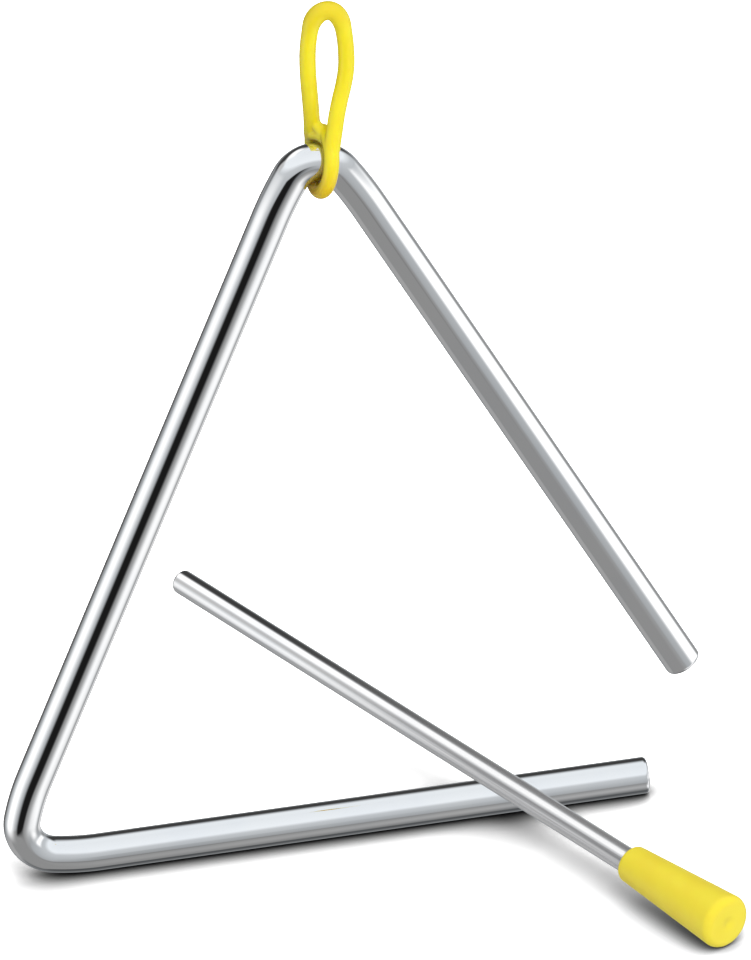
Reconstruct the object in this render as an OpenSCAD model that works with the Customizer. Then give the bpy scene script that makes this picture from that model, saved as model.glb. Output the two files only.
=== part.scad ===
// Hand-held steel triangle with an open corner, a soft hanging loop and a beater.
// Millimetres. The origin is the middle of the hanging loop's opening.
// X runs along the bottom leg, Y runs away from the player, Z is up.

/* [Triangle] */

// Diameter of the bent steel rod
rod_diameter = 8; // [5:0.5:12]

// Bottom side between the two corners where the centrelines would meet
base_side = 164.8; // [130:0.2:240]

// Angle of the two bottom corners, in degrees
base_angle = 63.5; // [58:0.5:66]

// Tightest bend radius at the apex, on the rod's centreline
apex_bend_radius = 6.4; // [6:0.2:9]

// Easier bend radius where the legs run into the apex
apex_lead_radius = 85; // [30:1:120]

// Turn of each easier part at the apex, in degrees
apex_lead_angle = 7; // [3:0.5:12]

// Tightest bend radius at the closed bottom corner, on the rod's centreline
corner_bend_radius = 7.7; // [6:0.1:12]

// Easier bend radius where the legs run into the closed corner
corner_lead_radius = 52; // [25:1:100]

// Turn of each easier part at the closed corner, in degrees
corner_lead_angle = 11; // [3:0.5:15]

// Length of the right leg from the apex corner to its free end
right_leg_length = 155.6; // [130:0.2:170]

// Length of the bottom leg from the closed corner to its free end
bottom_leg_length = 142.1; // [125:0.1:155]

// Rounding round each free end of the bent rod
rod_end_rounding = 0.9; // [0.4:0.1:2]

/* [Hanging loop] */

// Thickness of the soft strand
strand_diameter = 3.2; // [2.4:0.1:4]

// Room between the ring and the bent rod
ring_clearance = 0.7; // [0.5:0.1:1.2]

// Height from the ring's middle to the top of the strand's centreline
loop_height = 34.3; // [28:0.1:50]

// Widest distance between the two strands, centre to centre
loop_width = 7.9; // [7:0.1:14]

// Thickness of the web that joins the two strands over the ring
web_diameter = 2.4; // [2:0.1:3]

// Height from the ring's middle to the middle of the web
web_height = 6.3; // [6:0.1:9]

// Distance of the ring from the apex, to the right
ring_offset = 1.4; // [1.2:0.1:1.6]

// Lean of the loop to the right, in degrees
loop_lean = 7; // [0:0.5:10]

// Turn of the ring about the upright axis, in degrees
ring_turn = 10; // [0:1:12]

// Lean of the ring to the right, in degrees
ring_lean = 14; // [10:1:16]

/* [Beater] */

// Diameter of the beater's steel rod
beater_diameter = 5.6; // [4:0.1:8]

// Length of the beater from its tip to the crossing with the bottom leg
tip_reach = 106.8; // [90:0.2:115]

// Length of the beater from the crossing to the end of the grip
butt_reach = 82.2; // [70:0.1:110]

// Place of the crossing along the bottom leg, from the closed corner
crossing_place = 106; // [90:0.2:115]

// Heading of the beater, in degrees from the depth axis towards the left
beater_heading = 30.3; // [20:0.1:40]

// Rounding round the tip of the beater
tip_rounding = 0.7; // [0.3:0.1:1.5]

// Gap between the beater and the bottom leg that it lies on
resting_gap = 0.3; // [0.2:0.05:0.6]

/* [Grip] */

// Length of the grip
grip_length = 31.6; // [28:0.1:45]

// Diameter of the grip where the rod leaves it
grip_front_diameter = 8.3; // [7:0.1:10]

// Diameter of the grip at its butt
grip_butt_diameter = 11.9; // [9:0.1:14]

// Rounding of the front shoulder
shoulder_rounding = 0.9; // [0.3:0.1:1]

// Rounding of the butt
butt_rounding = 1.7; // [1:0.1:3]

// Depth of the blind bore that holds the rod
bore_depth = 26.5; // [15:0.5:30]

/* [Hidden] */

// Node to show

// Fineness of round faces
round_facets = 72;
// Fineness of the bent rod
rod_facets = 60;
// Steps in each easier part of a bend
lead_steps = 3;
// Largest turn between two rings of a bend, in degrees
bend_step = 7.5;
// Fineness of the soft strand
strand_facets = 16;
// Steps in the curve between two of the strand's points
strand_steps = 2;
// Steps in a rounding
rounding_steps = 6;

// Half thicknesses
rod_radius = rod_diameter / 2;
strand_radius = strand_diameter / 2;
web_radius = web_diameter / 2;
beater_radius = beater_diameter / 2;
front_radius = grip_front_diameter / 2;
butt_radius = grip_butt_diameter / 2;

// Triangle
apex_rise = base_side / 2 * tan(base_angle);
half_corner = 90 - base_angle / 2;
function half_rise(radius, lead, lead_angle, half) =
  lead * (1 - cos(lead_angle)) + radius * (cos(lead_angle) - cos(half));
apex_top_rise = apex_rise
  - half_rise(apex_bend_radius, apex_lead_radius, apex_lead_angle, base_angle) / cos(base_angle);

// Hanging loop: its opening runs from the web to the underside of the top strand
ring_radius = rod_radius + ring_clearance + strand_radius;
opening_bottom = web_height + web_radius;
opening_top = loop_height - strand_radius;
opening_middle = (opening_bottom + opening_top) / 2;
ring_x = -opening_middle * sin(loop_lean);
ring_z = -opening_middle * cos(loop_lean);
ring_drop = apex_bend_radius - sqrt(pow(apex_bend_radius, 2) - pow(ring_offset, 2));

// Closed bottom corner of the triangle, seen from the middle of the loop's opening
corner_x = ring_x - ring_offset - base_side / 2;
corner_z = ring_z + ring_drop - apex_top_rise;

// Places of the strand's centreline: from the ring's front, over the top, to the ring's back.
// Each is a share across, a share in depth and a share in height
loop_shares = [
  [0.33, -0.68, 0.128],
  [0.50, -0.43, 0.255],
  [0.59, -0.33, 0.323],
  [0.74, -0.21, 0.418],
  [0.93, -0.12, 0.516],
  [1.04, -0.06, 0.616],
  [1.02, -0.02, 0.718],
  [0.92, 0.00, 0.822],
  [0.73, 0.00, 0.922],
  [0.39, 0.00, 0.983],
  [-0.04, 0.00, 1.000],
  [-0.48, 0.00, 0.977],
  [-0.78, 0.00, 0.921],
  [-0.91, 0.00, 0.826],
  [-0.96, 0.01, 0.721],
  [-0.91, 0.05, 0.612],
  [-0.82, 0.11, 0.502],
  [-0.69, 0.22, 0.387],
  [-0.56, 0.39, 0.267],
  [-0.45, 0.56, 0.177],
  [-0.14, 0.85, 0.094]
];
loop_points = [for (p = loop_shares)
  [p[0] * loop_width / 2, p[1] * ring_radius, p[2] * loop_height]];
web_depth_share = 0.42;
web_across_share = 0.35;

// Beater: its slope lets the grip's butt reach the level that the bottom leg stands on
level_crossing = rod_radius + beater_radius + resting_gap;
butt_arm = butt_reach - butt_rounding;
butt_core = butt_radius - butt_rounding;
function slope_for(height) =
  asin((height + rod_radius - butt_rounding) / norm([butt_arm, butt_core])) - atan(butt_core / butt_arm);
function crossing_for(slope) = level_crossing / cos(atan(tan(slope) / cos(beater_heading)));
beater_slope = slope_for(crossing_for(slope_for(crossing_for(slope_for(level_crossing)))));
crossing_height = crossing_for(beater_slope);

// Point on a smooth curve between b and c
function between(a, b, c, d, t) =
  0.5 * ((2 * b) + (c - a) * t + (2 * a - 5 * b + 4 * c - d) * t * t + (3 * b - a - 3 * c + d) * t * t * t);
function smooth(points, steps) =
  let (last = len(points) - 1)
  concat(
    [for (i = [0 : last - 1], k = [0 : steps - 1])
      between(
        points[max(i - 1, 0)],
        points[i],
        points[i + 1],
        points[min(i + 2, last)],
        k / steps)],
    [points[last]]);
function unit(v) = v / norm(v);

// Stations of a tube along a path: a middle, a direction and a radius each
function along(path, radius) =
  let (last = len(path) - 1)
  [for (i = [0 : last])
    [path[i], unit(path[min(i + 1, last)] - path[max(i - 1, 0)]), radius]];
function ring_points(station, side, count) =
  let (u = unit(side - station[1] * (side * station[1])), v = cross(station[1], u))
  [for (k = [0 : count - 1])
    station[0] + station[2] * (cos(360 * k / count) * u + sin(360 * k / count) * v)];

// Closed tube through its stations, with flat ends
module lofted_tube(stations, count, side) {
  rings = len(stations);
  points = [for (station = stations) each ring_points(station, side, count)];
  walls = [for (i = [0 : rings - 2], k = [0 : count - 1])
    each [
      [(i + 1) * count + (k + 1) % count, i * count + (k + 1) % count, i * count + k],
      [(i + 1) * count + k, (i + 1) * count + (k + 1) % count, i * count + k]
    ]];
  near_cap = [for (k = [1 : count - 2]) [k, k + 1, 0]];
  far_start = (rings - 1) * count;
  far_cap = [for (k = [1 : count - 2]) [far_start + k + 1, far_start + k, far_start]];
  polyhedron(points = points, faces = concat(walls, near_cap, far_cap));
}

// Stations of the bent rod, from the bottom leg's free end round to the right leg's
function turned(angle) = [cos(angle), 0, sin(angle)];
function end_stations(tip, direction, sign) =
  [for (i = [0 : rounding_steps])
    let (a = 90 * (sign > 0 ? i : rounding_steps - i) / rounding_steps)
    [
      tip + sign * direction * rod_end_rounding * (1 - cos(a)),
      direction,
      rod_radius - rod_end_rounding * (1 - sin(a))
    ]];

// Place on a bend at a turned angle: along the first leg and off it.
// The two ends of a bend are easier than its middle
function arc(radius, from, to) = radius * [sin(to) - sin(from), cos(from) - cos(to)];
function bend_place(radius, lead, lead_angle, half, a) =
  arc(lead, 0, min(a, lead_angle))
  + arc(radius, lead_angle, min(max(a, lead_angle), 2 * half - lead_angle))
  + arc(lead, 2 * half - lead_angle, max(a, 2 * half - lead_angle));
function bend_angles(lead_angle, half) =
  let (middle = 2 * (half - lead_angle), steps = ceil(middle / bend_step))
  concat(
    [for (i = [0 : lead_steps - 1]) lead_angle * i / lead_steps],
    [for (i = [0 : steps - 1]) lead_angle + middle * i / steps],
    [for (i = [0 : lead_steps]) 2 * half - lead_angle + lead_angle * i / lead_steps]);
function bend_stations(corner, heading, half, radius, lead, lead_angle) =
  let (
    top = bend_place(radius, lead, lead_angle, half, half),
    tangent = top[0] + top[1] * tan(half)
  )
  [for (a = bend_angles(lead_angle, half))
    let (p = bend_place(radius, lead, lead_angle, half, a))
    [
      corner + (p[0] - tangent) * turned(heading) + p[1] * turned(heading - 90),
      turned(heading - a),
      rod_radius
    ]];

// Outline of a round bar along its axis, with a rounded far end
function bar_outline(length, radius, rounding) =
  concat(
    [[0, 0], [radius, 0]],
    [for (i = [0 : rounding_steps])
      let (a = 90 * i / rounding_steps)
      [radius - rounding + rounding * cos(a), length - rounding + rounding * sin(a)]],
    [[0, length]]);

module round_bar(length, radius, rounding) {
  rotate([0, 90, 0])
    rotate_extrude($fn = round_facets)
      polygon(bar_outline(length, radius, rounding));
}

module triangle_rod() {
  corner = [corner_x, 0, corner_z];
  apex = corner + [base_side / 2, 0, apex_rise];
  color([0.75, 0.77, 0.8])
    lofted_tube(
      concat(
        end_stations(corner + [bottom_leg_length, 0, 0], turned(180), 1),
        bend_stations(corner, 180, half_corner, corner_bend_radius, corner_lead_radius, corner_lead_angle),
        bend_stations(apex, base_angle, base_angle, apex_bend_radius, apex_lead_radius, apex_lead_angle),
        end_stations(apex + right_leg_length * turned(-base_angle), turned(-base_angle), -1)),
      rod_facets,
      [0, 1, 0]);
}

// Ring round the rod, the two strands that rise from it and the web between them
module hanging_loop() {
  color([0.95, 0.85, 0.15])
    translate([ring_x, 0, ring_z]) {
      rotate([0, ring_lean, 0])
        rotate([0, 0, ring_turn])
          rotate([0, 90, 0])
            rotate_extrude($fn = round_facets)
              translate([ring_radius, 0])
                circle(r = strand_radius, $fn = strand_facets * 2);
      rotate([0, loop_lean, 0]) {
        lofted_tube(along(smooth(loop_points, strand_steps), strand_radius), strand_facets, [0, 1, 0]);
        hull() {
          for (side = [-1, 1])
            translate([
              side * web_across_share * loop_width / 2,
              -side * web_depth_share * ring_radius,
              web_height
            ])
              sphere(r = web_radius, $fn = strand_facets);
        }
      }
    }
}

// Places a child whose X axis is the beater's axis and whose zero is the crossing
module on_beater_axis() {
  translate([corner_x + crossing_place, 0, corner_z + crossing_height])
    rotate([0, 0, 90 + beater_heading])
      rotate([0, -beater_slope, 0])
        children();
}

module beater_rod() {
  color([0.82, 0.83, 0.85])
    on_beater_axis()
      translate([grip_length - butt_reach - bore_depth, 0, 0])
        round_bar(tip_reach + butt_reach - grip_length + bore_depth, beater_radius, tip_rounding);
}

// Half outline of the grip: distance from the axis, and place back from the front face
grip_outline = concat(
  [[beater_radius, 0]],
  [for (i = [0 : rounding_steps])
    let (a = 90 * i / rounding_steps)
    [front_radius - shoulder_rounding * (1 - sin(a)), shoulder_rounding * (1 - cos(a))]],
  [for (i = [0 : rounding_steps])
    let (a = 90 * i / rounding_steps)
    [butt_core + butt_rounding * cos(a), grip_length - butt_rounding + butt_rounding * sin(a)]],
  [[0, grip_length], [0, bore_depth], [beater_radius, bore_depth]]);

module beater_grip() {
  color([0.93, 0.8, 0.2])
    on_beater_axis()
      translate([grip_length - butt_reach, 0, 0])
        rotate([0, -90, 0])
          rotate_extrude($fn = round_facets)
            polygon(grip_outline);
}

hanging_loop();
triangle_rod();
beater_rod();
beater_grip();
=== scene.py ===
"""Dressed model of a hand-held steel triangle with a soft hanging loop and a beater.

Metres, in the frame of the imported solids: the origin is the middle of the loop's opening,
X runs along the bottom leg, Y away from the player and Z up.
"""

import logging
import math
from collections.abc import Mapping, Sequence
from dataclasses import dataclass, field
from enum import Enum

import bmesh
import bpy
from bpy.types import Material, Mesh, Node, NodeSocket, NodeTree, Object
from mathutils import Matrix, Vector


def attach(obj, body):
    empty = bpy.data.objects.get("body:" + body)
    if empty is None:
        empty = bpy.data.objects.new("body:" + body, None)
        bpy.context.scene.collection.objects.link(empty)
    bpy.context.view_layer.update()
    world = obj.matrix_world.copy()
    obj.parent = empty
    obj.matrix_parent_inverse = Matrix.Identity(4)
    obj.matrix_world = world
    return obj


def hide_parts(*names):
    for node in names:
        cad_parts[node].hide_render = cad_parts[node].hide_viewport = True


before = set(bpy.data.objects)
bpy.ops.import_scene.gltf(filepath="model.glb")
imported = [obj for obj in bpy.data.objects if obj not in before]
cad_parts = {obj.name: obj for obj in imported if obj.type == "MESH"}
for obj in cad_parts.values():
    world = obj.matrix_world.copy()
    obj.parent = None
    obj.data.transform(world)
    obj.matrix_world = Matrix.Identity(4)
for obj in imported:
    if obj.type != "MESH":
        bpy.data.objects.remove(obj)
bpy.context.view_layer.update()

LOG = logging.getLogger("triangle")
MM = 0.001
FULL_TURN = 2 * math.pi
ON_AXIS = 1e-9
NOISE_ROUGHNESS = 0.55
Triple = tuple[float, float, float]
Rgba = tuple[float, float, float, float]
Outline = list[tuple[float, float]]


class Body(Enum):
    """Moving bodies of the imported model."""

    LOOP = "loop"
    TRIANGLE = "triangle"
    BEATER = "beater"


class Slot(Enum):
    """Material slots of the record."""

    POLISHED_STEEL = "polished_steel"
    LOOP_PLASTIC = "loop_plastic"
    BEATER_STEEL = "beater_steel"
    GRIP_PLASTIC = "grip_plastic"


class Follow(Enum):
    """What a finish's pattern follows on its piece."""

    ROD_FLOW = "rod_flow"
    OBJECT = "object"


# Node trees


class NodeGraph:
    """Adds nodes to one tree and joins them by socket name."""

    def __init__(self, tree: NodeTree) -> None:
        """Empties the shader or geometry tree that it fills."""
        self.tree = tree
        tree.nodes.clear()

    def add(
        self,
        kind: str,
        inputs: Mapping[str | int, object] | None = None,
        **settings: object,
    ) -> Node:
        """Adds one node.

        Args:
            kind: Blender's name of the node type.
            inputs: Value or output socket for each input, by name or index.
            **settings: Properties of the node.

        Returns:
            The new node.
        """
        node = self.tree.nodes.new(kind)
        for key, value in settings.items():
            setattr(node, key, value)
        for key, value in (inputs or {}).items():
            if isinstance(value, NodeSocket):
                self.tree.links.new(value, node.inputs[key])
            else:
                node.inputs[key].default_value = value
        return node

    def math(self, operation: str, *terms: object) -> NodeSocket:
        """Adds a Math node and returns its result."""
        return self.add("ShaderNodeMath", dict(enumerate(terms)), operation=operation).outputs[0]

    def mix(self, share: object, first: object, second: object) -> NodeSocket:
        """Mixes two colours, with the share given of the second one."""
        node = self.add("ShaderNodeMix", {0: share, 6: first, 7: second}, data_type="RGBA")
        return node.outputs[2]

    def spread(
        self, value: object, low: object, high: object, to_low: object = 0.0, to_high: object = 1.0
    ) -> NodeSocket:
        """Maps a value smoothly from the range between low and high to another range."""
        ends = {"Value": value, "From Min": low, "From Max": high, "To Min": to_low, "To Max": to_high}
        return self.add("ShaderNodeMapRange", ends, interpolation_type="SMOOTHSTEP").outputs["Result"]

    def noise(self, vector: object, scale: object, detail: float) -> NodeSocket:
        """Adds a noise with its number of finer layers, and returns its factor."""
        inputs = {"Vector": vector, "Scale": scale, "Detail": detail, "Roughness": NOISE_ROUGHNESS}
        return self.add("ShaderNodeTexNoise", inputs).outputs["Fac"]

    def place(self, group: NodeTree, inputs: Mapping[str | int, object]) -> Node:
        """Places a shader group with its inputs."""
        return self.add("ShaderNodeGroup", inputs, node_tree=group)

    def store(self, form: NodeSocket, name: str, value: NodeSocket, kind: str) -> NodeSocket:
        """Stores a value of the kind under a name on the form's points."""
        inputs = {"Geometry": form, "Name": name, "Value": value}
        return self.add("GeometryNodeStoreNamedAttribute", inputs, data_type=kind).outputs[0]

    def read(self, name: str, kind: str) -> NodeSocket:
        """Reads the values of the kind that are stored under a name."""
        return self.add("GeometryNodeInputNamedAttribute", {"Name": name}, data_type=kind).outputs[0]

    def principled(self, inputs: Mapping[str | int, object]) -> None:
        """Ends a material in a Principled shader with its inputs."""
        shader = self.add("ShaderNodeBsdfPrincipled", inputs)
        self.add("ShaderNodeOutputMaterial", {"Surface": shader.outputs["BSDF"]})

    def give(self, result: Node, **values: NodeSocket) -> NodeTree:
        """Joins a group's results to its output node.

        Args:
            result: The group's output node.
            **values: Socket of each result, by its name.

        Returns:
            The finished tree.
        """
        for name, value in values.items():
            self.tree.links.new(value, result.inputs[name])
        return self.tree


def rgba(colour: Triple) -> Rgba:
    """Returns the colour with full alpha."""
    return (*colour, 1.0)


def grey(level: float) -> Rgba:
    """Returns a grey of the level with full alpha."""
    return (level, level, level, 1.0)


def floats(*names: str) -> dict[str, str]:
    """Returns the kind of a float socket for each name."""
    return dict.fromkeys(names, "Float")


def new_material(name: str) -> tuple[Material, NodeGraph]:
    """Makes a material.

    Args:
        name: Name of the material.

    Returns:
        The material and its empty graph.
    """
    material = bpy.data.materials.new(name)
    material.use_nodes = True
    return material, NodeGraph(material.node_tree)


def start_group(
    name: str, takes: Mapping[str, str], gives: Mapping[str, str], kind: str = "ShaderNodeTree"
) -> tuple[NodeGraph, Node, Node]:
    """Makes an empty group with its sockets.

    Args:
        name: Name of the group.
        takes: Kind of each input socket, by name.
        gives: Kind of each output socket, by name.
        kind: ShaderNodeTree or GeometryNodeTree.

    Returns:
        The graph, its input node and its output node.
    """
    tree = bpy.data.node_groups.new(name, kind)
    for side, sockets in (("INPUT", takes), ("OUTPUT", gives)):
        for socket_name, socket_kind in sockets.items():
            tree.interface.new_socket(
                name=socket_name, in_out=side, socket_type=f"NodeSocket{socket_kind}")
    graph = NodeGraph(tree)
    return graph, graph.add("NodeGroupInput"), graph.add("NodeGroupOutput")


class Effects:
    """Shader groups that more than one finish uses, each built once."""

    FINE_SHARE = 0.6
    BROAD_SCALE = 0.23
    LINE_LEVEL = 0.78
    LINE_SOFTNESS = 0.1
    PATCH_EDGES = (0.42, 0.68)
    DULL_EDGES = (0.38, 0.7)
    CLOUD_EDGES = (0.35, 0.7)
    CLOUD_HEIGHT = 0.5
    RUB_SCALE = 900.0
    RUB_EDGES = (0.35, 0.7)

    def __init__(self) -> None:
        """Builds every group."""
        self.polish_lines = self._polish_lines()
        self.handled_haze = self._handled_haze()
        self.moulded_skin = self._moulded_skin()
        self.end_rub = self._end_rub()

    def _polish_lines(self) -> NodeTree:
        """Fine lines that polishing leaves along a rod.

        Returns:
            A group that gives a height and a mask of the deeper lines.
        """
        takes = {"Vector": "Vector", **floats("Along", "Across", "Deep Share")}
        graph, given, result = start_group("polish_lines", takes, floats("Height", "Mask"))
        scale = graph.add("ShaderNodeCombineXYZ", {
            "X": given.outputs["Along"], "Y": given.outputs["Across"], "Z": given.outputs["Across"]})
        drawn = graph.add("ShaderNodeVectorMath", {0: given.outputs["Vector"], 1: scale.outputs[0]},
                          operation="MULTIPLY").outputs[0]
        fine = graph.noise(drawn, 1.0, 4.0)
        broad = graph.noise(drawn, self.BROAD_SCALE, 2.0)
        height = graph.math("ADD", graph.math("MULTIPLY", fine, self.FINE_SHARE),
                            graph.math("MULTIPLY", broad, 1 - self.FINE_SHARE))
        edge = graph.math("SUBTRACT", self.LINE_LEVEL, given.outputs["Deep Share"])
        mask = graph.spread(fine, edge, graph.math("ADD", edge, self.LINE_SOFTNESS))
        return graph.give(result, Height=height, Mask=mask)

    def _handled_haze(self) -> NodeTree:
        """Soft patches where handling has dulled a surface.

        Returns:
            A group that gives a roughness and the patches' mask.
        """
        takes = {"Vector": "Vector", **floats("Patch Scale", "Clean", "Dull")}
        graph, given, result = start_group("handled_haze", takes, floats("Roughness", "Mask"))
        patches = graph.noise(given.outputs["Vector"], given.outputs["Patch Scale"], 5.0)
        rough = graph.spread(patches, *self.DULL_EDGES, given.outputs["Clean"], given.outputs["Dull"])
        return graph.give(result, Roughness=rough, Mask=graph.spread(patches, *self.PATCH_EDGES))

    def _moulded_skin(self) -> NodeTree:
        """Skin of a moulded plastic: cloudy colour and a fine grain.

        Returns:
            A group that gives a colour and a height.
        """
        takes = {"Vector": "Vector", **floats("Cloud Scale", "Grain Scale"),
                 "Bright": "Color", "Deep": "Color"}
        graph, given, result = start_group("moulded_skin", takes, {"Color": "Color", "Height": "Float"})
        clouds = graph.noise(given.outputs["Vector"], given.outputs["Cloud Scale"], 3.0)
        grain = graph.noise(given.outputs["Vector"], given.outputs["Grain Scale"], 2.0)
        share = graph.spread(clouds, *self.CLOUD_EDGES)
        colour = graph.mix(share, given.outputs["Bright"], given.outputs["Deep"])
        height = graph.math("ADD", grain, graph.math("MULTIPLY", clouds, self.CLOUD_HEIGHT))
        return graph.give(result, Color=colour, Height=height)

    def _end_rub(self) -> NodeTree:
        """Rubbed finish towards a part's end.

        Returns:
            A group that gives a mask, 1 at the end and 0 past the reach.
        """
        takes = {"Vector": "Vector", **floats("Distance", "Reach")}
        graph, given, result = start_group("end_rub", takes, floats("Mask"))
        broken = graph.spread(graph.noise(given.outputs["Vector"], self.RUB_SCALE, 4.0), *self.RUB_EDGES)
        near = graph.spread(given.outputs["Distance"], given.outputs["Reach"], 0.0)
        return graph.give(result, Mask=graph.math("MULTIPLY", near, broken))


# Finishes


@dataclass(frozen=True)
class SideShadeBand:
    """Painted dark reflection band on one side of a rod, stronger towards its foot, where the rod is also
    rougher.

    Places are shares of the rod's length, and sides are degrees round it.
    """

    none_at: float = 0.86
    full_at: float = 0.28
    first_side: tuple[float, float] = (30.0, 56.0)
    last_side: tuple[float, float] = (104.0, 74.0)
    streak_edges: tuple[float, float] = (0.36, 0.62)
    streak_dark: float = 0.24
    plain_dark: float = 0.45
    dark_tone: Triple = (0.05, 0.05, 0.055)
    metal_loss: float = 0.24
    roughness: float = 0.09


@dataclass(frozen=True)
class SteelFinish:
    """Bright plated steel, with polishing lines that follow the rod."""

    name: str
    bright: Triple
    tinted: Triple
    clean: float
    dull: float
    lines_along: float
    lines_across: float
    line_depth: float
    follow: Follow
    length: float
    axis_turn: Triple = (0.0, 0.0, 0.0)
    foot: Triple = (0.0, 0.0, 0.0)
    side_shade_band: SideShadeBand | None = None
    deep_share: float = 0.04
    patch_scale: float = 55.0
    rub_reach: float = 2.2 * MM
    rub_roughness: float = 0.12
    line_roughness: float = 0.03

    def build(self, effects: Effects) -> Material:
        """Builds the material.

        Args:
            effects: The shared shader groups.

        Returns:
            The material.
        """
        material, graph = new_material(self.name)
        flow = self._flow(graph)
        lines = graph.place(effects.polish_lines, {
            "Vector": flow, "Along": self.lines_along, "Across": self.lines_across,
            "Deep Share": self.deep_share})
        haze = graph.place(effects.handled_haze, {
            "Vector": flow, "Patch Scale": self.patch_scale, "Clean": self.clean, "Dull": self.dull})
        parts = graph.add("ShaderNodeSeparateXYZ", {0: flow})
        to_far = graph.math("SUBTRACT", self.length, parts.outputs["X"])
        to_end = graph.math("ABSOLUTE", graph.math("MINIMUM", parts.outputs["X"], to_far))
        rub = graph.place(effects.end_rub, {"Vector": flow, "Distance": to_end, "Reach": self.rub_reach})
        colour = graph.mix(haze.outputs["Mask"], rgba(self.bright), rgba(self.tinted))
        rubbed = graph.math("MULTIPLY", rub.outputs["Mask"], self.rub_roughness)
        lined = graph.math("MULTIPLY", lines.outputs["Mask"], self.line_roughness)
        rough = graph.math("ADD", graph.math("ADD", haze.outputs["Roughness"], rubbed), lined)
        metal = 1.0
        # Painted dark reflection band on one side of the rod, towards its foot, when a band is given.
        if self.side_shade_band:
            colour, rough, metal = self._paint_side_shade(graph, parts, lines, colour, rough)
        bump = graph.add("ShaderNodeBump", {
            "Height": lines.outputs["Height"], "Distance": self.line_depth, "Strength": 1.0})
        graph.principled({
            "Base Color": colour, "Metallic": metal, "Roughness": rough,
            "Normal": bump.outputs["Normal"]})
        return material

    def _paint_side_shade(
        self, graph: NodeGraph, parts: Node, lines: Node, colour: object, rough: object
    ) -> tuple[NodeSocket, NodeSocket, NodeSocket]:
        """Adds the painted dark reflection band on one side, with the roughness and lower metal share
        that go with it.

        Args:
            graph: The material's graph.
            parts: Coordinates along and across the rod.
            lines: The polishing lines.
            colour: Colour of the rod without the painted band.
            rough: Roughness of the rod without the band.

        Returns:
            The colour, the roughness and the share of metal.
        """
        shade_band = self.side_shade_band
        # Painted shade: a dark reflection band on one side, fading out along the rod from its foot.
        share = graph.spread(
            graph.math("DIVIDE", parts.outputs["X"], self.length), shade_band.none_at, shade_band.full_at)
        around = graph.math("DEGREES", graph.math("ARCTAN2", parts.outputs["Y"], parts.outputs["Z"]))
        side = graph.math("MULTIPLY", graph.spread(around, *shade_band.first_side),
                          graph.spread(around, *shade_band.last_side))
        streak = graph.spread(lines.outputs["Height"], *shade_band.streak_edges)
        band_darkness = graph.math("ADD", graph.math("MULTIPLY", streak, shade_band.streak_dark), shade_band.plain_dark)
        dark = graph.math("MULTIPLY", share, graph.math("MULTIPLY", side, band_darkness))
        tone = graph.mix(dark, colour, rgba(shade_band.dark_tone))
        metal = graph.math("SUBTRACT", 1.0, graph.math("MULTIPLY", share, shade_band.metal_loss))
        return tone, graph.math("ADD", rough, graph.math("MULTIPLY", share, shade_band.roughness)), metal

    def _flow(self, graph: NodeGraph) -> NodeSocket:
        """Makes coordinates whose X runs along the rod.

        Args:
            graph: The material's graph.

        Returns:
            The coordinates' socket.
        """
        if self.follow is Follow.ROD_FLOW:
            return graph.add("ShaderNodeAttribute", attribute_name=self.follow.value).outputs["Vector"]
        coordinates = graph.add("ShaderNodeTexCoord")
        return graph.add("ShaderNodeMapping", {
            "Vector": coordinates.outputs["Object"], "Location": self.foot, "Rotation": self.axis_turn},
            vector_type="TEXTURE").outputs["Vector"]


@dataclass(frozen=True)
class Zone:
    """Colour mixed into a plastic between two heights."""

    none_at: float
    full_at: float
    share: float
    tone: Triple


@dataclass(frozen=True)
class PlasticFinish:
    """Moulded plastic with a cloudy colour and a fine grain."""

    name: str
    bright: Triple
    deep: Triple
    clean: float
    dull: float
    cloud_scale: float
    grain_scale: float
    grain_depth: float
    glow: float
    glow_reach: float
    zones: tuple[Zone, ...] = ()
    patch_scale: float = 120.0
    glow_spread: Triple = (1.0, 0.62, 0.1)
    refraction: float = 1.48

    def build(self, effects: Effects) -> Material:
        """Builds the material.

        Args:
            effects: The shared shader groups.

        Returns:
            The material.
        """
        material, graph = new_material(self.name)
        place = graph.add("ShaderNodeTexCoord").outputs["Object"]
        skin = graph.place(effects.moulded_skin, {
            "Vector": place, "Cloud Scale": self.cloud_scale, "Grain Scale": self.grain_scale,
            "Bright": rgba(self.bright), "Deep": rgba(self.deep)})
        haze = graph.place(effects.handled_haze, {
            "Vector": place, "Patch Scale": self.patch_scale, "Clean": self.clean, "Dull": self.dull})
        height = graph.add("ShaderNodeSeparateXYZ", {0: place}).outputs["Z"]
        colour = skin.outputs["Color"]
        # Colours mixed in by height; on the loop these paint amber shade at the ring and darken the
        # crown.
        for zone in self.zones:
            share = graph.spread(height, zone.none_at, zone.full_at, 0.0, zone.share)
            colour = graph.mix(share, colour, rgba(zone.tone))
        bump = graph.add("ShaderNodeBump", {
            "Height": skin.outputs["Height"], "Distance": self.grain_depth, "Strength": 1.0})
        graph.principled({
            "Base Color": colour, "Roughness": haze.outputs["Roughness"],
            "Normal": bump.outputs["Normal"], "Subsurface Weight": self.glow,
            "Subsurface Radius": self.glow_spread, "Subsurface Scale": self.glow_reach,
            "IOR": self.refraction})
        return material


# Meshes


def object_from(name: str, content: bpy.types.ID) -> Object:
    """Links a mesh, lamp or camera into the scene as an object at the origin.

    Args:
        name: Name of the object.
        content: Its mesh, lamp or camera.

    Returns:
        The object.
    """
    piece = bpy.data.objects.new(name, content)
    bpy.context.scene.collection.objects.link(piece)
    return piece


def baked(piece: Object, name: str) -> Object:
    """Turns an object with modifiers into a plain mesh.

    Args:
        piece: Object with its modifiers, which is removed.
        name: Name of the result.

    Returns:
        The plain object.
    """
    graph = bpy.context.evaluated_depsgraph_get()
    mesh = bpy.data.meshes.new_from_object(piece.evaluated_get(graph))
    piece.modifiers.clear()
    bpy.data.objects.remove(piece)
    mesh.name = name
    return object_from(name, mesh)


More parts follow.
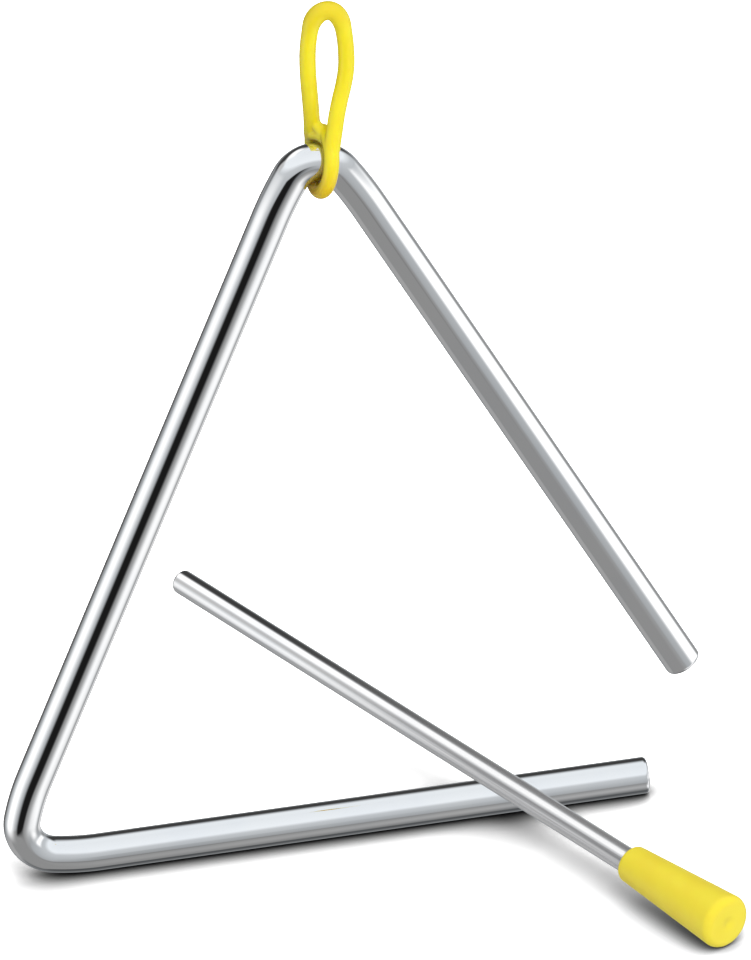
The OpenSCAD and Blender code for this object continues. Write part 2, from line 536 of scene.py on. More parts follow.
def finish_mesh(form: bmesh.types.BMesh, mesh: Mesh) -> None:
    """Writes a closed form to its mesh with outward faces and smooth shading.

    Args:
        form: The form, which is freed.
        mesh: Mesh that takes it.
    """
    bmesh.ops.recalc_face_normals(form, faces=form.faces)
    for face in form.faces:
        face.smooth = True
    form.to_mesh(mesh)
    form.free()


def sweep_tree() -> NodeTree:
    """Builds the tree that lays a round section along each line of a mesh and marks its flow.

    Returns:
        The tree.
    """
    takes = {"Geometry": "Geometry", "Radius": "Float", "Sides": "Int", "Material": "Material"}
    graph, given, result = start_group("round_sweep", takes, {"Geometry": "Geometry"}, "GeometryNodeTree")
    path = graph.add("GeometryNodeMeshToCurve", {"Mesh": given.outputs["Geometry"]})
    length = graph.add("GeometryNodeSplineParameter").outputs["Length"]
    circle = graph.add("GeometryNodeCurvePrimitiveCircle", {
        "Resolution": given.outputs["Sides"], "Radius": given.outputs["Radius"]})
    place = graph.add("GeometryNodeInputPosition").outputs[0]
    tube = graph.add("GeometryNodeCurveToMesh", {
        "Curve": graph.store(path.outputs[0], "along", length, "FLOAT"),
        "Profile Curve": graph.store(circle.outputs["Curve"], "around", place, "FLOAT_VECTOR"),
        "Scale": graph.read("thickness", "FLOAT"), "Fill Caps": True})
    around = graph.add("ShaderNodeSeparateXYZ", {0: graph.read("around", "FLOAT_VECTOR")})
    flow = graph.add("ShaderNodeCombineXYZ", {
        "X": graph.read("along", "FLOAT"), "Y": around.outputs["X"], "Z": around.outputs["Y"]})
    stored = graph.store(tube.outputs["Mesh"], Follow.ROD_FLOW.value, flow.outputs[0], "FLOAT_VECTOR")
    real = graph.add("GeometryNodeRealizeInstances", {"Geometry": stored})
    coated = graph.add("GeometryNodeSetMaterial", {
        "Geometry": real.outputs["Geometry"], "Material": given.outputs["Material"]})
    return graph.give(result, Geometry=coated.outputs["Geometry"])


def swept(
    name: str,
    lines: Sequence[tuple[Sequence[Vector], bool]],
    shares: Sequence[float],
    inputs: Mapping[str, object],
) -> Object:
    """Sweeps a round section along lines.

    Args:
        name: Name of the object.
        lines: Points of each line, and whether it is closed.
        shares: Thickness at each point, as a share of the radius.
        inputs: The sweep's radius, sides and material.

    Returns:
        The lines' object with its sweep, not yet baked.
    """
    points: list[tuple[float, ...]] = []
    edges: list[tuple[int, int]] = []
    for line, closed in lines:
        start, count = len(points), len(line)
        points += [tuple(p) for p in line]
        edges += [(start + i, start + (i + 1) % count) for i in range(count if closed else count - 1)]
    mesh = bpy.data.meshes.new(name)
    mesh.from_pydata(points, edges, [])
    mesh.attributes.new("thickness", "FLOAT", "POINT").data.foreach_set("value", shares)
    piece = object_from(name, mesh)
    sweep = piece.modifiers.new("sweep", "NODES")
    sweep.node_group = bpy.data.node_groups.get("round_sweep") or sweep_tree()
    for item in sweep.node_group.interface.items_tree:
        if item.in_out == "INPUT" and item.name in inputs:
            sweep[item.identifier] = inputs[item.name]
    return piece


def rounding(radius: float, along: float, size: float, start: float, stop: float, steps: int) -> Outline:
    """Returns points of a rounding round its centre, from one angle to another in degrees."""
    angles = (math.radians(start + (stop - start) * i / steps) for i in range(steps + 1))
    return [(radius + size * math.cos(a), along + size * math.sin(a)) for a in angles]


def lathe(
    name: str, outline: Outline, foot: Vector, axis: Vector, sides: int, ridge: float = 0.0
) -> Object:
    """Turns an outline round an axis.

    Args:
        name: Name of the object.
        outline: Pairs of a radius and a place along the axis.
        foot: Point of the axis at place zero.
        axis: Unit direction of the axis.
        sides: Number of sides.
        ridge: Height of the two mould lines, which run along the sides.

    Returns:
        The turned object.
    """
    across = axis.cross(Vector((0, 0, 1))).normalized()
    upward = across.cross(axis).normalized()
    form = bmesh.new()
    rings: list[list[bmesh.types.BMVert]] = []
    for radius, along in outline:
        centre = foot + axis * along
        if radius < ON_AXIS:
            rings.append([form.verts.new(centre)])
            continue
        ring = []
        for k in range(sides):
            turn = FULL_TURN * k / sides
            out = radius + (ridge if k % (sides // 2) == 0 else 0.0)
            spoke = across * math.cos(turn) + upward * math.sin(turn)
            ring.append(form.verts.new(centre + spoke * out))
        rings.append(ring)
    for first, second in zip(rings, rings[1:]):
        for k in range(sides):
            n = (k + 1) % sides
            if len(first) == 1:
                form.faces.new((first[0], second[n], second[k]))
            elif len(second) == 1:
                form.faces.new((first[k], first[n], second[0]))
            else:
                form.faces.new((first[k], first[n], second[n], second[k]))
    mesh = bpy.data.meshes.new(name)
    finish_mesh(form, mesh)
    return object_from(name, mesh)


def dress(piece: Object, material: Material, body: Body, node: str) -> None:
    """Gives a piece its finish and its place in the model.

    Args:
        piece: The finished piece.
        material: Its material.
        body: Body that it rides on.
        node: CAD node that it stands for.
    """
    piece.data.materials.clear()
    piece.data.materials.append(material)
    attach(piece, body.value)
    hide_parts(node)
    size = piece.dimensions / MM
    LOG.info("%s: %d faces, %.1f x %.1f x %.1f mm", piece.name, len(piece.data.polygons), *size)


# Sub-assemblies


@dataclass
class HangingLoop:
    """Soft loop moulded in one with the ring that holds the bent rod."""

    strand_radius: float = 1.75 * MM
    strand_inset: float = 1.6 * MM
    crown_swell: float = 0.15
    swell_start: float = 0.84
    swell_span: float = 0.12
    ring_share: float = 0.94
    ring_radius: float = 6.25 * MM
    loop_height: float = 34.3 * MM
    loop_width: float = 7.9 * MM
    web_radius: float = 1.2 * MM
    web_height: float = 6.3 * MM
    lean: float = math.radians(7)
    ring_turn: float = math.radians(10)
    ring_lean: float = math.radians(14)
    strand_sides: int = 40
    ring_steps: int = 96
    voxel: float = 0.2 * MM
    smoothing: int = 8
    smoothing_factor: float = 0.5
    path_steps: int = 6
    path_shares: tuple[Triple, ...] = (
        (0.36, -0.68, 0.128), (0.54, -0.43, 0.255), (0.63, -0.33, 0.323), (0.79, -0.21, 0.418),
        (0.98, -0.12, 0.516), (1.09, -0.06, 0.616), (1.07, -0.02, 0.718), (0.96, 0.00, 0.822),
        (0.76, 0.00, 0.918), (0.40, 0.00, 0.978), (-0.04, 0.00, 0.994), (-0.48, 0.00, 0.972),
        (-0.79, 0.00, 0.917), (-0.92, 0.00, 0.826), (-0.96, 0.01, 0.721), (-0.91, 0.05, 0.612),
        (-0.81, 0.11, 0.502), (-0.67, 0.22, 0.387), (-0.53, 0.39, 0.267), (-0.46, 0.52, 0.192),
        (-0.41, 0.65, 0.140), (-0.33, 0.81, 0.093), (-0.29, 0.94, 0.040),
    )
    web_lines: tuple[tuple[Triple, ...], ...] = (
        ((-2.0, 2.6, 8.6), (-0.9, 1.5, 7.25), (0.2, -0.2, 6.25), (1.4, -2.65, 6.0)),
        ((-2.0, 3.9, 4.2), (-1.7, 2.7, 4.95), (-0.6, 1.0, 5.5), (0.5, -1.0, 5.45), (1.5, -2.9, 4.7)),
    )

    @property
    def opening_middle(self) -> float:
        """Height of the opening's middle over the ring's middle."""
        return (self.web_height + self.web_radius + self.loop_height - self.strand_inset) / 2

    @property
    def ring_centre(self) -> Vector:
        """Middle of the ring."""
        return Vector((-math.sin(self.lean), 0, -math.cos(self.lean))) * self.opening_middle

    @property
    def leaning(self) -> Matrix:
        """Rotation that leans the loop over the ring."""
        return Matrix.Rotation(self.lean, 3, "Y")

    def strand_path(self) -> list[Vector]:
        """Follows the strand from the ring, over the top and back to the ring.

        The curve is smooth and passes through every point of the path's shares.

        Returns:
            Points of its centreline.
        """
        scale = (self.loop_width / 2, self.ring_radius, self.loop_height)
        points = [Vector([s * k for s, k in zip(share, scale)]) for share in self.path_shares]
        path = []
        for i in range(len(points) - 1):
            a, b, c, d = (points[min(max(j, 0), len(points) - 1)] for j in range(i - 1, i + 3))
            for k in range(self.path_steps):
                t = k / self.path_steps
                path.append(0.5 * (2 * b + (c - a) * t + (2 * a - 5 * b + 4 * c - d) * t * t
                                   + (3 * b - a - 3 * c + d) * t ** 3))
        path.append(points[-1])
        return [self.ring_centre + self.leaning @ p for p in path]

    def web_paths(self) -> list[list[Vector]]:
        """Returns the lines of the web that fills the room between the strands and the ring."""
        return [[self.ring_centre + self.leaning @ (Vector(place) * MM) for place in line]
                for line in self.web_lines]

    def swell(self, point: Vector) -> float:
        """Finds how much thicker the strand is at a point, as it is towards the loop's crown.

        Args:
            point: Point of the strand's centreline.

        Returns:
            Its thickness as a share of the strand's.
        """
        upward = self.leaning @ Vector((0, 0, 1))
        height = (point - self.ring_centre).dot(upward) / self.loop_height
        rise = min(max((height - self.swell_start) / self.swell_span, 0.0), 1.0)
        return 1 + self.crown_swell * rise * rise * (3 - 2 * rise)

    def ring_path(self) -> list[Vector]:
        """Returns the closed path of the ring's centreline."""
        turn = Matrix.Rotation(self.ring_lean, 3, "Y") @ Matrix.Rotation(self.ring_turn, 3, "Z")
        angles = (FULL_TURN * i / self.ring_steps for i in range(self.ring_steps))
        return [self.ring_centre + turn @ Vector((0, math.cos(a), math.sin(a))) * self.ring_radius
                for a in angles]

    def build(self, material: Material) -> Object:
        """Sweeps the strands, then melts them into one moulded piece.

        Args:
            material: The loop's plastic.

        Returns:
            The moulded loop.
        """
        strand, ring, webs = self.strand_path(), self.ring_path(), self.web_paths()
        shares = [self.swell(p) for p in strand] + [self.ring_share] * len(ring)
        shares += [self.web_radius / self.strand_radius] * sum(len(line) for line in webs)
        lines = [(strand, False), (ring, True), *((line, False) for line in webs)]
        raw = swept("loop_paths", lines, shares, {
            "Radius": self.strand_radius, "Sides": self.strand_sides, "Material": material})
        melt = raw.modifiers.new("melt", "REMESH")
        melt.mode = "VOXEL"
        melt.voxel_size = self.voxel
        melt.use_smooth_shade = True
        ease = raw.modifiers.new("ease", "SMOOTH")
        ease.factor = self.smoothing_factor
        ease.iterations = self.smoothing
        piece = baked(raw, "soft_loop")
        dress(piece, material, Body.LOOP, "hanging_loop")
        return piece


@dataclass(frozen=True)
class Bend:
    """Bend of the rod whose two ends are easier than its middle."""

    radius: float
    lead: float
    lead_angle: float
    half: float
    lead_steps: int = 10
    middle_steps: int = 40

    @property
    def reach(self) -> float:
        """Distance of the bend's middle from the corner where the centrelines would meet."""
        return self._place(self.half)[1] / math.cos(self.half)

    @staticmethod
    def _arc(radius: float, start: float, stop: float) -> tuple[float, float]:
        """Returns how far an arc goes along the first leg and off it."""
        return radius * (math.sin(stop) - math.sin(start)), radius * (math.cos(start) - math.cos(stop))

    def _place(self, angle: float) -> tuple[float, float]:
        """Finds the place on the bend at a turned angle.

        Args:
            angle: Angle turned since the bend's start.

        Returns:
            Distances along the first leg and off it.
        """
        far = 2 * self.half - self.lead_angle
        parts = (
            self._arc(self.lead, 0.0, min(angle, self.lead_angle)),
            self._arc(self.radius, self.lead_angle, min(max(angle, self.lead_angle), far)),
            self._arc(self.lead, far, max(angle, far)))
        return sum(along for along, _ in parts), sum(off for _, off in parts)

    def points(self, corner: Vector, heading: float) -> list[Vector]:
        """Follows the bend's centreline, turning clockwise seen from the front.

        Args:
            corner: Corner where the centrelines would meet.
            heading: Direction of the first leg, from the X axis upwards.

        Returns:
            Points in order.
        """
        along, off = self._place(self.half)
        tangent = along + off * math.tan(self.half)
        ahead = Vector((math.cos(heading), 0, math.sin(heading)))
        inward = Vector((math.sin(heading), 0, -math.cos(heading)))
        last = 2 * self.half
        middle = last - 2 * self.lead_angle
        angles = [self.lead_angle * i / self.lead_steps for i in range(self.lead_steps)]
        angles += [self.lead_angle + middle * i / self.middle_steps for i in range(self.middle_steps)]
        angles += [last - self.lead_angle * i / self.lead_steps for i in range(self.lead_steps, -1, -1)]
        return [corner + ahead * (x - tangent) + inward * y for x, y in map(self._place, angles)]


@dataclass
class BentRod:
    """Steel rod bent into a triangle with one open corner."""

    ring_centre: Vector
    ring_offset: float = 1.4 * MM
    rod_radius: float = 4.0 * MM
    base_side: float = 164.8 * MM
    base_angle: float = math.radians(63.5)
    corner_bend: Bend = Bend(
        radius=7.7 * MM, lead=52.0 * MM, lead_angle=math.radians(11), half=math.radians(58.25))
    apex_bend: Bend = Bend(
        radius=6.4 * MM, lead=85.0 * MM, lead_angle=math.radians(7), half=math.radians(63.5))
    bottom_leg: float = 142.1 * MM
    right_leg: float = 155.6 * MM
    end_rounding: float = 0.9 * MM
    end_clearance: float = 0.4 * MM
    rim_steps: int = 9
    face_limit: float = 0.995
    sides: int = 112
    leg_step: float = 9.0 * MM
    face_rings: tuple[float, ...] = (0.12 * MM, 0.5 * MM, 0.9 * MM, 0.9 * MM)

    @property
    def corner(self) -> Vector:
        """Point where the centrelines of the bottom and left legs would meet."""
        top = self.base_side / 2 * math.tan(self.base_angle) - self.apex_bend.reach
        drop = self.apex_bend.radius - math.sqrt(self.apex_bend.radius ** 2 - self.ring_offset ** 2)
        return Vector((self.ring_centre.x - self.ring_offset - self.base_side / 2, 0,
                       self.ring_centre.z + drop - top))

    @property
    def floor_height(self) -> float:
        """Height of the bottom leg's underside."""
        return self.corner.z - self.rod_radius

    @property
    def path(self) -> list[Vector]:
        """Centreline, from the bottom leg's free end to the right leg's."""
        corner = self.corner
        apex = corner + Vector((self.base_side / 2, 0, self.base_side / 2 * math.tan(self.base_angle)))
        down = Vector((math.cos(self.base_angle), 0, -math.sin(self.base_angle)))
        first, last = corner + Vector((self.bottom_leg, 0, 0)), apex + down * self.right_leg
        lower = self.corner_bend.points(corner, math.pi)
        upper = self.apex_bend.points(apex, self.base_angle)
        clear = self.end_rounding + self.end_clearance
        near, far = first - Vector((clear, 0, 0)), last - down * clear
        return [
            first, *self.straight(near, lower[0]), *lower, *self.straight(lower[-1], upper[0])[1:],
            *upper, *self.straight(upper[-1], far)[1:], far, last]

    def straight(self, start: Vector, stop: Vector) -> list[Vector]:
        """Divides a straight leg into even steps, and leaves out its last point."""
        count = math.ceil((stop - start).length / self.leg_step)
        return [start.lerp(stop, i / count) for i in range(count)]

    @property
    def length(self) -> float:
        """Length of the bent centreline."""
        path = self.path
        return sum((b - a).length for a, b in zip(path, path[1:]))

    def build(self, material: Material) -> Object:
        """Bends the rod and rounds its two ends.

        Args:
            material: The rod's steel.

        Returns:
            The bent rod.
        """
        path = self.path
        raw = swept("rod_path", [(path, False)], [1.0] * len(path), {
            "Radius": self.rod_radius, "Sides": self.sides, "Material": material})
        piece = baked(raw, "bent_rod")
        self._round_ends(piece.data)
        dress(piece, material, Body.TRIANGLE, "triangle_rod")
        piece.visible_glossy = False
        return piece

    @staticmethod
    def _caps(form: bmesh.types.BMesh) -> list[bmesh.types.BMFace]:
        """Returns the rod's two end faces, the only ones with more than four sides."""
        return [face for face in form.faces if len(face.verts) > 4]

    def _round_ends(self, mesh: Mesh) -> None:
        """Rounds the rims of the two ends and turns rings into their faces.

        Args:
            mesh: Mesh of the bent rod.
        """
        form = bmesh.new()
        form.from_mesh(mesh)
        rims = [edge for cap in self._caps(form) for edge in cap.edges]
        bmesh.ops.bevel(form, geom=rims, offset=self.end_rounding, segments=self.rim_steps, profile=0.5,
                        affect="EDGES")
        for ring in self.face_rings:
            bmesh.ops.inset_individual(form, faces=self._caps(form), thickness=ring)
        bmesh.ops.poke(form, faces=self._caps(form))
        flow = form.verts.layers.float_vector[Follow.ROD_FLOW.value]
        ends = ((self.path[0], 0.0), (self.path[-1], self.length))
        for vert in form.verts:
            for centre, along in ends:
                offset = vert.co - centre
                if offset.length < self.rod_radius * self.face_limit:
                    radial = Vector((offset.x, offset.z)).length * (1 if offset.x > 0 else -1)
                    vert[flow] = Vector((along, radial, offset.y))
        finish_mesh(form, mesh)
        for name in ("along", "around", "thickness"):
            mesh.attributes.remove(mesh.attributes[name])


@dataclass
class Beater:
    """Straight steel rod with a tapered push-on grip."""

    tip: Vector = field(default_factory=lambda: Vector((-34.021514, 92.019647, -161.817356)) * MM)
    butt: Vector = field(default_factory=lambda: Vector((61.136695, -70.824110, -173.975723)) * MM)
    rod_radius: float = 2.8 * MM
    tip_rounding: float = 0.7 * MM
    bore_depth: float = 26.5 * MM
    grip_length: float = 31.6 * MM
    front_radius: float = 4.15 * MM
    butt_radius: float = 5.95 * MM
    shoulder: float = 0.9 * MM
    butt_rounding: float = 1.7 * MM
    mouth_ease: float = 0.25 * MM
    mouth_turn: float = 0.3
    taper_shares: tuple[float, ...] = (0.03, 0.25, 0.5, 0.75, 0.97)
    rim_ring: float = 0.15 * MM
    dish_share: float = 0.55
    dish_depths: tuple[float, float] = (0.03 * MM, 0.05 * MM)
    gate_radii: tuple[float, float] = (0.9 * MM, 0.75 * MM)
    gate_depths: tuple[float, float] = (0.16 * MM, 0.2 * MM)
    end_ring: float = 0.1 * MM
    side_start: float = 0.3 * MM
    side_stop: float = 0.2 * MM
    mould_line: float = 0.035 * MM
    sides: int = 96
    side_steps: int = 16

    @property
    def axis(self) -> Vector:
        """Unit direction from the butt to the tip."""
        return (self.tip - self.butt).normalized()

    @property
    def reach(self) -> float:
        """Length from the butt to the tip."""
        return (self.tip - self.butt).length

    @property
    def turn(self) -> Triple:
        """Rotation that lays the X axis along the beater."""
        return tuple(self.axis.to_track_quat("X", "Z").to_euler())

    def rod_outline(self) -> Outline:
        """Outline of the rod, from its end in the grip to its rounded tip.

        Returns:
            Pairs of a radius and a place along the axis.
        """
        start = self.grip_length - self.bore_depth
        edge = self.rod_radius - self.tip_rounding
        first, last = start + self.side_start, self.reach - self.tip_rounding - self.side_stop
        side = [(self.rod_radius, first + (last - first) * i / self.side_steps)
                for i in range(self.side_steps + 1)]
        return [
            (0.0, start), (self.rod_radius - self.end_ring, start),
            (self.rod_radius, start + self.end_ring), *side,
            *rounding(edge, self.reach - self.tip_rounding, self.tip_rounding, 0, 90, 8),
            (edge - self.end_ring, self.reach), (edge / 2, self.reach), (0.0, self.reach)]

    def grip_outline(self) -> Outline:
        """Outline of the grip: bore, mouth, tapered side and the dished butt with its gate mark.

        Returns:
            Pairs of a radius and a place back from the butt.
        """
        front = self.grip_length
        bore = self.rod_radius
        turn = self.mouth_ease * self.mouth_turn
        top = (self.front_radius, front - self.shoulder)
        end = (self.butt_radius, self.butt_rounding)
        taper = [(top[0] + (end[0] - top[0]) * t, top[1] + (end[1] - top[1]) * t)
                 for t in self.taper_shares]
        flat = self.butt_radius - self.butt_rounding
        return [
            (0.0, front - self.bore_depth), (bore, front - self.bore_depth),
            (bore, front - self.mouth_ease), (bore + turn, front - turn), (bore + self.mouth_ease, front),
            *rounding(self.front_radius - self.shoulder, front - self.shoulder, self.shoulder, 90, 0, 8),
            *taper, *rounding(flat, self.butt_rounding, self.butt_rounding, 0, -90, 12),
            (flat - self.rim_ring, 0.0), (flat * self.dish_share, self.dish_depths[0]),
            (self.gate_radii[0], self.dish_depths[1]), (self.gate_radii[1], self.gate_depths[0]),
            (0.0, self.gate_depths[1])]

    def build(self, steel: Material, plastic: Material) -> list[Object]:
        """Turns the rod and its grip.

        Args:
            steel: The rod's steel.
            plastic: The grip's plastic.

        Returns:
            The rod and the grip.
        """
        rod = lathe("beater_shaft", self.rod_outline(), self.butt, self.axis, self.sides)
        dress(rod, steel, Body.BEATER, "beater_rod")
        grip = lathe(
            "push_on_grip", self.grip_outline(), self.butt, self.axis, self.sides, self.mould_line)
        dress(grip, plastic, Body.BEATER, "beater_grip")
        for piece in (rod, grip):
            piece.visible_glossy = False
        grip.visible_diffuse = False
        return [rod, grip]


# Studio


@dataclass(frozen=True)
class StudioCard:
    """Soft-edged card of the studio that only gloss sees, in degrees round the object."""

    azimuth: float
    elevation: float
    half_width: float
    half_height: float
    side_fade: float
    top_fade: float
    tone: float


@dataclass(frozen=True)
class SoftLamp:
    """Large soft lamp that looks at the object."""

    name: str
    place: Triple
    size: float
    power: float


@dataclass
class Studio:
    """Floor, soft light and camera."""

    floor_height: float
    card_gain: float = 1.07
    ambient: float = 0.52
    lamps: tuple[SoftLamp, ...] = (
        SoftLamp("overhead_lamp", place=(0.45, 0.55, 1.35), size=1.6, power=4.2),
        SoftLamp("front_lamp", place=(0.30, -1.00, 0.80), size=0.8, power=10.0),
    )
    floor_half: float = 6.0
    floor_cells: int = 8
    floor_gap: float = 0.05 * MM
    floor_tone: float = 0.9
    floor_gain: float = 2.45
    # Reach, power and samples of the floor's painted contact shadow.
    contact_shadow_reach: float = 16.0 * MM
    contact_shadow_power: float = 1.9
    contact_shadow_samples: int = 32
    cool: Triple = (0.96, 1.0, 1.035)
    camera_place: Triple = (-0.1555786, -1.616087, 0.7401724)
    camera_turn: Triple = (-0.09762488, 0.47532927, -0.09167192)
    focal_length: float = 323.075
    sensor_width: float = 36.0
    room_tones: tuple[tuple[float, float], ...] = (
        (-90, 0.062), (-45, 0.24), (-10, 0.441), (20, 0.558), (35, 0.865), (90, 0.80))
    cards: tuple[StudioCard, ...] = (
        StudioCard(-142.1, -51.0, 60.0, 29.3, 22.0, 2.5, 0.26),
        StudioCard(122.4, -45.3, 38.7, 10.9, 22.0, 14.0, 1.01),
        StudioCard(39.5, -38.7, 22.6, 14.0, 9.6, 8.7, 0.69),
        StudioCard(-4.4, 27.4, 55.3, 25.7, 11.2, 14.0, 0.045),
        StudioCard(-19.8, -16.7, 25.6, 13.3, 7.1, 6.1, 0.12),
        StudioCard(-41.4, 47.2, 25.8, 11.1, 9.8, 5.8, 1.02),
        StudioCard(-68.2, 26.8, 14.3, 8.5, 7.9, 6.2, 0.51),
        StudioCard(-93.8, -8.6, 21.7, 19.2, 19.1, 13.9, 1.19),
        StudioCard(95.9, -1.8, 30.8, 7.9, 9.9, 6.0, 1.13),
        StudioCard(-159.4, -14.7, 20.3, 13.7, 8.2, 2.5, 0.01),
        StudioCard(48.0, -8.0, 10.0, 8.0, 6.0, 5.0, 0.27),
        StudioCard(-59.9, -46.1, 26.7, 12.3, 8.6, 5.7, 0.35),
        StudioCard(111.0, -27.0, 16.0, 10.0, 15.0, 10.0, 1.0),
    )

    @staticmethod
    def card_group() -> NodeTree:
        """Builds the group that masks one card.

        Returns:
            The group.
        """
        takes = floats("Azimuth", "Elevation", "Card Azimuth", "Card Elevation", "Half Width",
                       "Half Height", "Side Fade", "Top Fade")
        graph, given, result = start_group("studio_card", takes, floats("Mask"))
        sockets = given.outputs
        turn = graph.math("WRAP", graph.math("SUBTRACT", sockets["Azimuth"], sockets["Card Azimuth"]),
                          180.0, -180.0)
        lift = graph.math("SUBTRACT", sockets["Elevation"], sockets["Card Elevation"])
        masks = []
        sides = ((turn, "Half Width", "Side Fade"), (lift, "Half Height", "Top Fade"))
        for distance, half, fade in sides:
            outer = graph.math("ADD", sockets[half], sockets[fade])
            inside = graph.math("SUBTRACT", outer, graph.math("ABSOLUTE", distance))
            span = graph.math("MULTIPLY", sockets[fade], 2.0)
            masks.append(graph.spread(graph.math("DIVIDE", inside, span), 0.0, 1.0))
        return graph.give(result, Mask=graph.math("MULTIPLY", *masks))

    def light_world(self) -> None:
        """Makes a plain white world in which gloss sees the room's tones and the studio's cards."""
        world = bpy.data.worlds.new("studio")
        bpy.context.scene.world = world
        world.use_nodes = True
        graph = NodeGraph(world.node_tree)
        direction = graph.add("ShaderNodeTexCoord").outputs["Object"]
        parts = graph.add("ShaderNodeSeparateXYZ", {0: direction})
        azimuth = graph.math("DEGREES", graph.math("ARCTAN2", parts.outputs["X"], parts.outputs["Y"]))
        elevation = graph.math("DEGREES", graph.math("ARCSINE", parts.outputs["Z"]))
        ramp = graph.add("ShaderNodeValToRGB", {
            "Fac": graph.math("DIVIDE", graph.math("ADD", elevation, 90.0), 180.0)})
        stops = ramp.color_ramp.elements
        last = len(self.room_tones) - 1
        for number, (height, level) in enumerate(self.room_tones):
            place = (height + 90) / 180
            stop = stops[-1] if number == last else stops[0]
            if 0 < number < last:
                stop = stops.new(place)
            stop.position = place
            stop.color = rgba(tuple(level * share * self.card_gain for share in self.cool))
        tone = ramp.outputs["Color"]
        card_mask = self.card_group()
        for card in self.cards:
            mask = graph.place(card_mask, {
                "Azimuth": azimuth, "Elevation": elevation, "Card Azimuth": card.azimuth,
                "Card Elevation": card.elevation, "Half Width": card.half_width,
                "Half Height": card.half_height, "Side Fade": card.side_fade, "Top Fade": card.top_fade})
            tone = graph.mix(mask.outputs["Mask"], tone, grey(card.tone * self.card_gain))
        rays = graph.add("ShaderNodeLightPath")
        bounced = graph.math("GREATER_THAN", rays.outputs["Diffuse Depth"], 0.5)
        tone = graph.mix(bounced, tone, grey(0.0))
        lit = graph.mix(rays.outputs["Is Glossy Ray"], grey(self.ambient), tone)
        seen = graph.math("MAXIMUM", rays.outputs["Is Camera Ray"], rays.outputs["Is Transmission Ray"])
        colour = graph.mix(seen, lit, grey(1.0))
        background = graph.add("ShaderNodeBackground", {"Color": colour, "Strength": 1.0})
        graph.add("ShaderNodeOutputWorld", {"Surface": background.outputs["Background"]})

    def lay_floor(self) -> None:
        """Lays the pale floor, whose colour seen by the camera carries a painted contact shadow from
        ambient occlusion.
        """
        form = bmesh.new()
        cells = self.floor_cells
        bmesh.ops.create_grid(form, x_segments=cells, y_segments=cells, size=self.floor_half)
        bmesh.ops.translate(form, verts=form.verts, vec=(0, 0, self.floor_height - self.floor_gap))
        mesh = bpy.data.meshes.new("floor")
        form.to_mesh(mesh)
        form.free()
        floor = object_from("floor", mesh)
        material, graph = new_material("pale_floor")
        rays = graph.add("ShaderNodeLightPath")
        seen = graph.math("MAXIMUM", rays.outputs["Is Camera Ray"], rays.outputs["Is Transmission Ray"])
        # Painted shadow: the camera sees the floor's colour darkened by ambient occlusion near the
        # objects, and raised so that open floor clips to white.
        near = graph.add("ShaderNodeAmbientOcclusion", {"Distance": self.contact_shadow_reach},
                         samples=self.contact_shadow_samples)
        shade = graph.math("MULTIPLY", graph.math("POWER", near.outputs["AO"], self.contact_shadow_power),
                           self.floor_gain)
        tone = graph.math("ADD", graph.math("MULTIPLY", seen, shade),
                          graph.math("MULTIPLY", graph.math("SUBTRACT", 1.0, seen), self.floor_tone))
        matte = graph.add("ShaderNodeBsdfDiffuse", {"Color": tone})
        graph.add("ShaderNodeOutputMaterial", {"Surface": matte.outputs[0]})
        mesh.materials.append(material)
        floor.visible_glossy = False

    def hang_lamps(self) -> None:
        """Hangs the soft lamps round the object."""
        for plan in self.lamps:
            lamp = bpy.data.lights.new(plan.name, "AREA")
            lamp.shape = "DISK"
            lamp.size = plan.size
            lamp.energy = plan.power
            holder = object_from(plan.name, lamp)
            place = Vector(plan.place)
            aim = (Vector((0, 0, self.floor_height / 2)) - place).to_track_quat("-Z", "Y")
            holder.matrix_world = Matrix.Translation(place) @ aim.to_matrix().to_4x4()
            holder.visible_glossy = False

    def stand_camera(self) -> None:
        """Stands the camera where the photograph was taken from."""
        yaw, pitch, roll = self.camera_turn  # radians, from level and looking along +Y
        turn = Matrix.Rotation(yaw, 4, "Z") @ Matrix.Rotation(math.pi / 2 - pitch, 4, "X")
        turn = turn @ Matrix.Rotation(roll, 4, "Z")
        data = bpy.data.cameras.new("camera")
        data.lens = self.focal_length
        data.sensor_width = self.sensor_width
        camera = object_from("camera", data)
        camera.matrix_world = Matrix.Translation(self.camera_place) @ turn
        bpy.context.scene.camera = camera

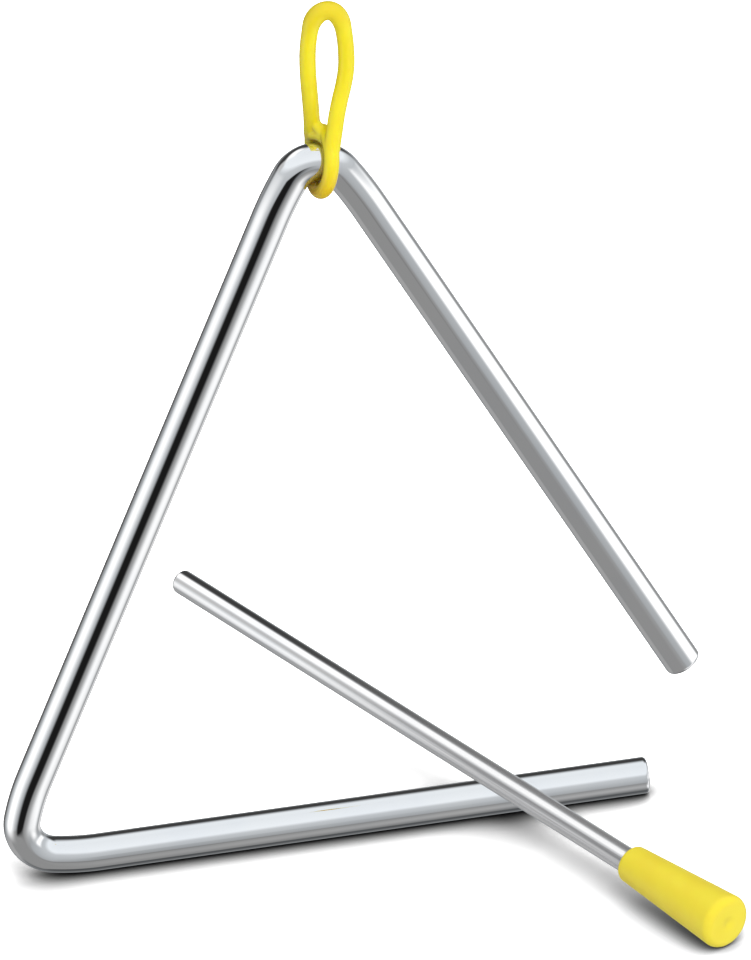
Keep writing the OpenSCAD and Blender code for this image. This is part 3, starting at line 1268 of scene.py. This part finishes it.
    def build(self) -> None:
        """Sets the studio up."""
        self.light_world()
        self.lay_floor()
        self.hang_lamps()
        self.stand_camera()
        bpy.context.scene.view_settings.view_transform = "Standard"


def main() -> None:
    """Builds the triangle, its loop, its beater and the studio."""
    logging.basicConfig(level=logging.INFO, format="%(name)s %(message)s")
    effects = Effects()
    loop = HangingLoop()
    rod = BentRod(ring_centre=loop.ring_centre)
    beater = Beater()
    chrome = SteelFinish(
        "mirror_chrome", bright=(0.94, 0.945, 0.95), tinted=(0.915, 0.925, 0.94), clean=0.03,
        dull=0.06, lines_along=40.0, lines_across=5000.0, line_depth=0.0004 * MM,
        follow=Follow.ROD_FLOW, length=rod.length)
    # The beater's steel has a painted dark reflection band on one side, towards the grip.
    bright_steel = SteelFinish(
        "drawn_steel", bright=(0.94, 0.94, 0.945), tinted=(0.9, 0.905, 0.92), clean=0.05, dull=0.09,
        lines_along=30.0, lines_across=4200.0, line_depth=0.0006 * MM, follow=Follow.OBJECT,
        length=beater.reach, axis_turn=beater.turn, foot=tuple(beater.butt), side_shade_band=SideShadeBand())
    ring_height = loop.ring_centre.z
    crown_height = ring_height + loop.loop_height
    # Painted shade: amber colour where the ring sits on the rod stands in for its warm shade; deep_crown
    # is darker towards the crown.
    amber_ring_shade = Zone(none_at=ring_height + 3 * MM, full_at=ring_height - 5.5 * MM, share=0.6,
                      tone=(0.80, 0.45, 0.003))
    deep_crown = Zone(none_at=crown_height - 6 * MM, full_at=crown_height, share=0.45,
                      tone=(0.72, 0.55, 0.02))
    loop_plastic = PlasticFinish(
        "soft_yellow_plastic", bright=(0.90, 0.79, 0.02), deep=(0.87, 0.74, 0.02), clean=0.18,
        dull=0.25, cloud_scale=160.0, grain_scale=2600.0, grain_depth=0.003 * MM, glow=0.4,
        glow_reach=1.4 * MM, zones=(amber_ring_shade, deep_crown))
    grip_plastic = PlasticFinish(
        "matte_yellow_plastic", bright=(0.94, 0.79, 0.044), deep=(0.92, 0.74, 0.04), clean=0.40,
        dull=0.50, cloud_scale=90.0, grain_scale=2200.0, grain_depth=0.006 * MM, glow=0.08,
        glow_reach=1.0 * MM)
    loop.build(loop_plastic.build(effects))
    rod.build(chrome.build(effects))
    beater.build(bright_steel.build(effects), grip_plastic.build(effects))
    Studio(rod.floor_height).build()


if __name__ == "__main__":
    main()
